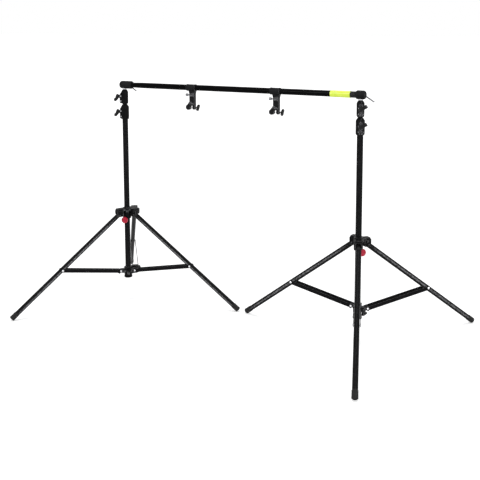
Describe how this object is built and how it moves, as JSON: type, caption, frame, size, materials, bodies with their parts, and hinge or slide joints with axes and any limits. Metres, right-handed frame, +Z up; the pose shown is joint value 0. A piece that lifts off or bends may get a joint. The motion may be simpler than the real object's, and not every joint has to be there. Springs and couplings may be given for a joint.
{
  "type": "backdrop stand",
  "caption": "Folding tripod stands with telescopic risers and a telescopic crossbar between them, with sliding clamps that hold a hanging backdrop.",
  "frame": {"origin": "centre of the bounding box on the floor", "axes": "+X along the crossbar from the left stand to the right stand, +Y away from the clamps' front, +Z up"},
  "size_m": [1.9008, 1.0102, 1.0336],
  "materials": {
    "black_tube": "black anodised, semi-gloss",
    "black_strap": "black anodised flat bar, satin",
    "black_casting": "moulded black nylon, fine texture",
    "black_plastic": "moulded black, satin",
    "black_rubber": "matt rubber",
    "zinc_steel": "bright zinc plated",
    "crimson_plastic": "glossy crimson",
    "lime_sleeve": "printed film, satin, plain"
  },
  "bodies": {
    "left_base": {"left_column_tube": "black_tube", "left_lower_casting": "black_casting", "left_lock_collar_lower": "black_casting"},
    "left_lock_knob_1": {"left_knob_lower": "black_plastic"},
    "left_collar": {"left_upper_casting": "black_casting"},
    "left_release": {"left_release_knob": "crimson_plastic"},
    "left_leg_a": {"left_leg_a": "black_tube", "left_foot_a": "black_rubber"},
    "left_brace_a": {"left_brace_a": "black_strap"},
    "left_leg_b": {"left_leg_b": "black_tube", "left_foot_b": "black_rubber"},
    "left_brace_b": {"left_brace_b": "black_strap"},
    "left_leg_c": {"left_leg_c": "black_tube", "left_foot_c": "black_rubber"},
    "left_brace_c": {"left_brace_c": "black_strap"},
    "left_riser_1": {"left_riser_lower": "black_tube", "left_lock_collar_upper": "black_casting"},
    "left_lock_knob_2": {"left_knob_upper": "black_plastic"},
    "left_riser_2": {"left_riser_upper": "black_tube", "left_spigot": "zinc_steel"},
    "bar_outer": {"bar_outer_tube": "black_tube", "bar_label_sleeve": "lime_sleeve", "bar_ring_outer": "black_plastic", "bar_left_head": "black_casting"},
    "left_lever": {"bar_left_lever": "zinc_steel"},
    "bar_middle": {"bar_middle_tube": "black_tube", "bar_ring_middle": "black_plastic"},
    "bar_inner": {"bar_inner_tube": "black_tube", "bar_right_head": "black_casting"},
    "right_lever": {"bar_right_lever": "zinc_steel"},
    "clamp_1": {"clamp_1_body": "black_casting"},
    "clamp_1_pad": {"clamp_1_jaw_pad": "zinc_steel"},
    "clamp_1_screw": {"clamp_1_jaw_screw": "black_plastic"},
    "clamp_1_thumb": {"clamp_1_thumb_screw": "zinc_steel"},
    "clamp_2": {"clamp_2_body": "black_casting"},
    "clamp_2_pad": {"clamp_2_jaw_pad": "zinc_steel"},
    "clamp_2_screw": {"clamp_2_jaw_screw": "black_plastic"},
    "clamp_2_thumb": {"clamp_2_thumb_screw": "zinc_steel"},
    "right_base": {"right_column_tube": "black_tube", "right_lower_casting": "black_casting", "right_lock_collar_lower": "black_casting"},
    "right_lock_knob_1": {"right_knob_lower": "black_plastic"},
    "right_collar": {"right_upper_casting": "black_casting"},
    "right_release": {"right_release_knob": "crimson_plastic"},
    "right_leg_a": {"right_leg_a": "black_tube", "right_foot_a": "black_rubber"},
    "right_brace_a": {"right_brace_a": "black_strap"},
    "right_leg_b": {"right_leg_b": "black_tube", "right_foot_b": "black_rubber"},
    "right_brace_b": {"right_brace_b": "black_strap"},
    "right_leg_c": {"right_leg_c": "black_tube", "right_foot_c": "black_rubber"},
    "right_brace_c": {"right_brace_c": "black_strap"},
    "right_riser_1": {"right_riser_lower": "black_tube", "right_lock_collar_upper": "black_casting"},
    "right_lock_knob_2": {"right_knob_upper": "black_plastic"},
    "right_riser_2": {"right_riser_upper": "black_tube", "right_spigot": "zinc_steel"}
  },
  "joints": [
    {"name": "left_lock_1_turn", "type": "hinge", "parent": "left_base", "child": "left_lock_knob_1", "pos_m": [-0.59371, 0.03619, 0.89045], "axis": [-0.8581, -0.5135, 0], "range_deg": [0, 540]},
    {"name": "left_collar_slide", "type": "slide", "parent": "left_base", "child": "left_collar", "axis": [0, 0, 1], "range_m": [0, 0.3888]},
    {"name": "left_release_turn", "type": "hinge", "parent": "left_collar", "child": "left_release", "pos_m": [-0.59371, 0.03619, 0.37989], "axis": [0.2521, -0.9677, 0], "range_deg": [0, 720]},
    {"name": "left_leg_a_fold", "type": "hinge", "parent": "left_collar", "child": "left_leg_a", "pos_m": [-0.59371, 0.09151, 0.40459], "axis": [-0.7593, -0.6508, 0], "range_deg": [0, 47.85]},
    {"name": "left_brace_a_fold", "type": "hinge", "parent": "left_leg_a", "child": "left_brace_a", "pos_m": [-0.78432, 0.31391, 0.18731], "axis": [-0.7593, -0.6508, 0], "range_deg": [-120.83, 0]},
    {"name": "left_leg_b_fold", "type": "hinge", "parent": "left_collar", "child": "left_leg_b", "pos_m": [-0.60999, -0.00688, 0.40459], "axis": [0.9191, -0.3939, 0], "range_deg": [0, 47.85]},
    {"name": "left_brace_b_fold", "type": "hinge", "parent": "left_leg_b", "child": "left_brace_b", "pos_m": [-0.72538, -0.27609, 0.18731], "axis": [0.9191, -0.3939, 0], "range_deg": [-120.83, 0]},
    {"name": "left_leg_c_fold", "type": "hinge", "parent": "left_collar", "child": "left_leg_c", "pos_m": [-0.55174, 0.04321, 0.40459], "axis": [-0.1184, 0.993, 0], "range_deg": [0, 47.85]},
    {"name": "left_brace_c_fold", "type": "hinge", "parent": "left_leg_c", "child": "left_brace_c", "pos_m": [-0.2609, 0.07789, 0.18731], "axis": [-0.1184, 0.993, 0], "range_deg": [-120.83, 0]},
    {"name": "left_lock_2_turn", "type": "hinge", "parent": "left_riser_1", "child": "left_lock_knob_2", "pos_m": [-0.59371, 0.03619, 0.96141], "axis": [-0.8581, -0.5135, 0], "range_deg": [0, 540]},
    {"name": "left_riser_1_slide", "type": "slide", "parent": "left_base", "child": "left_riser_1", "axis": [0, 0, 1], "range_m": [0, 0.68]},
    {"name": "left_riser_2_slide", "type": "slide", "parent": "left_riser_1", "child": "left_riser_2", "axis": [0, 0, 1], "range_m": [0, 0.68]},
    {"name": "bar_left_swivel", "type": "hinge", "parent": "left_riser_2", "child": "bar_outer", "pos_m": [-0.59371, 0.03619, 1.01559], "axis": [0, 0, 1], "range_deg": [-90, 90]},
    {"name": "left_lever_turn", "type": "hinge", "parent": "bar_outer", "child": "left_lever", "pos_m": [-0.59371, 0.03619, 1.01559], "axis": [0, 1, 0], "range_deg": [0, 360]},
    {"name": "bar_middle_slide", "type": "slide", "parent": "bar_outer", "child": "bar_middle", "axis": [1, 0, 0], "range_m": [0, 0.8]},
    {"name": "bar_inner_slide", "type": "slide", "parent": "bar_middle", "child": "bar_inner", "axis": [1, 0, 0], "range_m": [0, 0.8]},
    {"name": "right_lever_turn", "type": "hinge", "parent": "bar_inner", "child": "right_lever", "pos_m": [0.59229, 0.03619, 1.01559], "axis": [0, 1, 0], "range_deg": [0, 360]},
    {"name": "clamp_1_slide", "type": "slide", "parent": "bar_outer", "child": "clamp_1", "axis": [1, 0, 0], "range_m": [-0.24, 0.17]},
    {"name": "clamp_1_jaw_slide", "type": "slide", "parent": "clamp_1", "child": "clamp_1_pad", "axis": [-1, 0, 0], "range_m": [0, 0.0081]},
    {"name": "clamp_1_screw_turn", "type": "hinge", "parent": "clamp_1_pad", "child": "clamp_1_screw", "pos_m": [-0.21271, 0.03619, 0.92759], "axis": [-1, 0, 0], "range_deg": [0, 2304]},
    {"name": "clamp_1_thumb_turn", "type": "hinge", "parent": "clamp_1", "child": "clamp_1_thumb", "pos_m": [-0.21271, 0.03619, 0.98259], "axis": [-1, 0, 0], "range_deg": [0, 540]},
    {"name": "clamp_2_slide", "type": "slide", "parent": "bar_outer", "child": "clamp_2", "axis": [1, 0, 0], "range_m": [-0.17, 0.22]},
    {"name": "clamp_2_jaw_slide", "type": "slide", "parent": "clamp_2", "child": "clamp_2_pad", "axis": [-1, 0, 0], "range_m": [0, 0.0081]},
    {"name": "clamp_2_screw_turn", "type": "hinge", "parent": "clamp_2_pad", "child": "clamp_2_screw", "pos_m": [0.21129, 0.03619, 0.92759], "axis": [-1, 0, 0], "range_deg": [0, 2304]},
    {"name": "clamp_2_thumb_turn", "type": "hinge", "parent": "clamp_2", "child": "clamp_2_thumb", "pos_m": [0.21129, 0.03619, 0.98259], "axis": [-1, 0, 0], "range_deg": [0, 540]},
    {"name": "right_lock_1_turn", "type": "hinge", "parent": "right_base", "child": "right_lock_knob_1", "pos_m": [0.59229, 0.03619, 0.89045], "axis": [0.5105, -0.8599, 0], "range_deg": [0, 540]},
    {"name": "right_collar_slide", "type": "slide", "parent": "right_base", "child": "right_collar", "axis": [0, 0, 1], "range_m": [0, 0.3888]},
    {"name": "right_release_turn", "type": "hinge", "parent": "right_collar", "child": "right_release", "pos_m": [0.59229, 0.03619, 0.37989], "axis": [0.8695, -0.4939, 0], "range_deg": [0, 720]},
    {"name": "right_leg_a_fold", "type": "hinge", "parent": "right_collar", "child": "right_leg_a", "pos_m": [0.55264, 0.07476, 0.40459], "axis": [-0.0628, -0.998, 0], "range_deg": [0, 47.85]},
    {"name": "right_brace_a_fold", "type": "hinge", "parent": "right_leg_a", "child": "right_brace_a", "pos_m": [0.26031, 0.09315, 0.18731], "axis": [-0.0628, -0.998, 0], "range_deg": [-120.83, 0]},
    {"name": "right_leg_b_fold", "type": "hinge", "parent": "right_collar", "child": "right_leg_b", "pos_m": [0.61182, -0.00551, 0.40459], "axis": [0.9232, 0.3843, 0], "range_deg": [0, 47.85]},
    {"name": "right_brace_b_fold", "type": "hinge", "parent": "right_leg_b", "child": "right_brace_b", "pos_m": [0.72438, -0.27592, 0.18731], "axis": [0.9232, 0.3843, 0], "range_deg": [-120.83, 0]},
    {"name": "right_leg_c_fold", "type": "hinge", "parent": "right_collar", "child": "right_leg_c", "pos_m": [0.61652, 0.07117, 0.40459], "axis": [-0.7944, 0.6074, 0], "range_deg": [0, 47.85]},
    {"name": "right_brace_c_fold", "type": "hinge", "parent": "right_leg_c", "child": "right_brace_c", "pos_m": [0.79442, 0.30386, 0.18731], "axis": [-0.7944, 0.6074, 0], "range_deg": [-120.83, 0]},
    {"name": "right_lock_2_turn", "type": "hinge", "parent": "right_riser_1", "child": "right_lock_knob_2", "pos_m": [0.59229, 0.03619, 0.96141], "axis": [0.5105, -0.8599, 0], "range_deg": [0, 540]},
    {"name": "bar_right_swivel", "type": "hinge", "parent": "bar_inner", "child": "right_riser_2", "pos_m": [0.59229, 0.03619, 1.01559], "axis": [0, 0, 1], "range_deg": [-90, 90]},
    {"name": "right_riser_2_slide", "type": "slide", "parent": "right_riser_2", "child": "right_riser_1", "axis": [0, 0, -1], "range_m": [0, 0.68]},
    {"name": "right_riser_1_slide", "type": "slide", "parent": "right_riser_1", "child": "right_base", "axis": [0, 0, -1], "range_m": [0, 0.68]}
  ],
  "couplings": [
    {"joint": "left_leg_a_fold", "follows": "left_collar_slide", "rad_per_m": 2.1457},
    {"joint": "left_brace_a_fold", "follows": "left_collar_slide", "rad_per_m": -5.4218},
    {"joint": "left_leg_b_fold", "follows": "left_collar_slide", "rad_per_m": 2.1457},
    {"joint": "left_brace_b_fold", "follows": "left_collar_slide", "rad_per_m": -5.4218},
    {"joint": "left_leg_c_fold", "follows": "left_collar_slide", "rad_per_m": 2.1457},
    {"joint": "left_brace_c_fold", "follows": "left_collar_slide", "rad_per_m": -5.4218},
    {"joint": "clamp_1_jaw_slide", "follows": "clamp_1_screw_turn", "m_per_rad": 0.00019894},
    {"joint": "clamp_2_jaw_slide", "follows": "clamp_2_screw_turn", "m_per_rad": 0.00019894},
    {"joint": "right_leg_a_fold", "follows": "right_collar_slide", "rad_per_m": 2.1457},
    {"joint": "right_brace_a_fold", "follows": "right_collar_slide", "rad_per_m": -5.4218},
    {"joint": "right_leg_b_fold", "follows": "right_collar_slide", "rad_per_m": 2.1457},
    {"joint": "right_brace_b_fold", "follows": "right_collar_slide", "rad_per_m": -5.4218},
    {"joint": "right_leg_c_fold", "follows": "right_collar_slide", "rad_per_m": 2.1457},
    {"joint": "right_brace_c_fold", "follows": "right_collar_slide", "rad_per_m": -5.4218},
    {"joint": "right_riser_1_slide", "follows": "left_riser_1_slide", "ratio": 1},
    {"joint": "right_riser_2_slide", "follows": "left_riser_2_slide", "ratio": 1}
  ]
}
